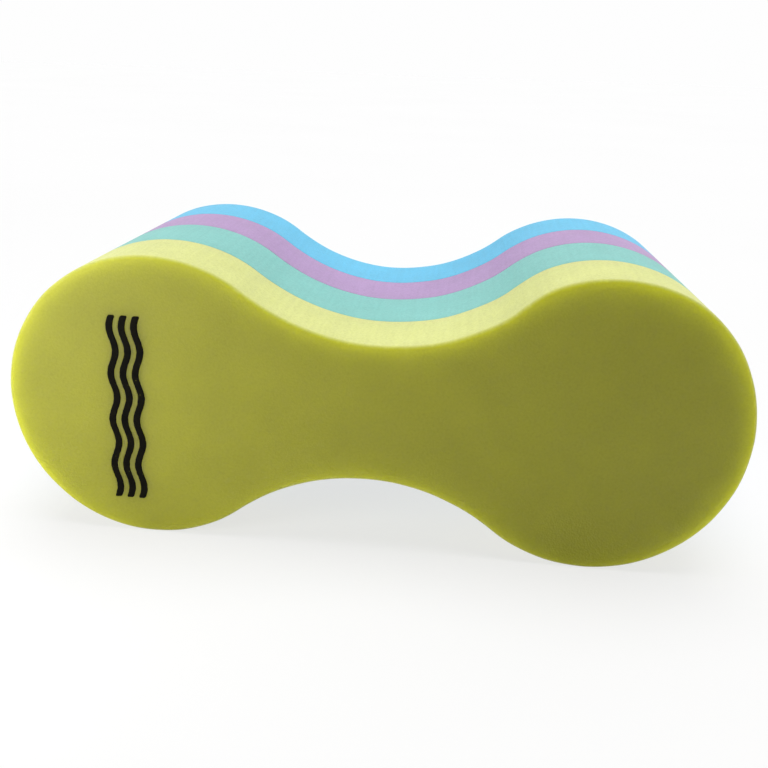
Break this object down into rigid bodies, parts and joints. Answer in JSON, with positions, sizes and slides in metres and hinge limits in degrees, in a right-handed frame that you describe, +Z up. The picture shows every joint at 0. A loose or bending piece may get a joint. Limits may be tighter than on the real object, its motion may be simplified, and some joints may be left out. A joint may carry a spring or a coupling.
{
  "type": "pull buoy",
  "caption": "Figure-of-eight foam float with two round lobes and a narrow waist, held between the thighs while swimming.",
  "frame": {"origin": "centre of the base, midway along the length and the depth, at the height of the lowest points of the two lobes", "axes": "+X along the length towards the lobe with no print, +Y from the printed front face to the back face through the sheets, +Z up"},
  "size_m": [0.234, 0.1207, 0.0936],
  "materials": {
    "lime_foam": "matte closed-cell EVA foam, lime yellow",
    "teal_foam": "matte closed-cell EVA foam, pale teal",
    "mauve_foam": "matte closed-cell EVA foam, mauve",
    "sky_foam": "matte closed-cell EVA foam, sky blue",
    "glue": "dried contact adhesive film",
    "ink": "screen-printed flexible black ink"
  },
  "bodies": {
    "root": {"foam_sheet_front": "lime_foam", "foam_sheet_front_core": "teal_foam", "foam_sheet_back_core": "mauve_foam", "foam_sheet_back": "sky_foam", "glue_film_front": "glue", "glue_film_middle": "glue", "glue_film_back": "glue", "printed_wave_mark": "ink"}
  },
  "joints": []
}
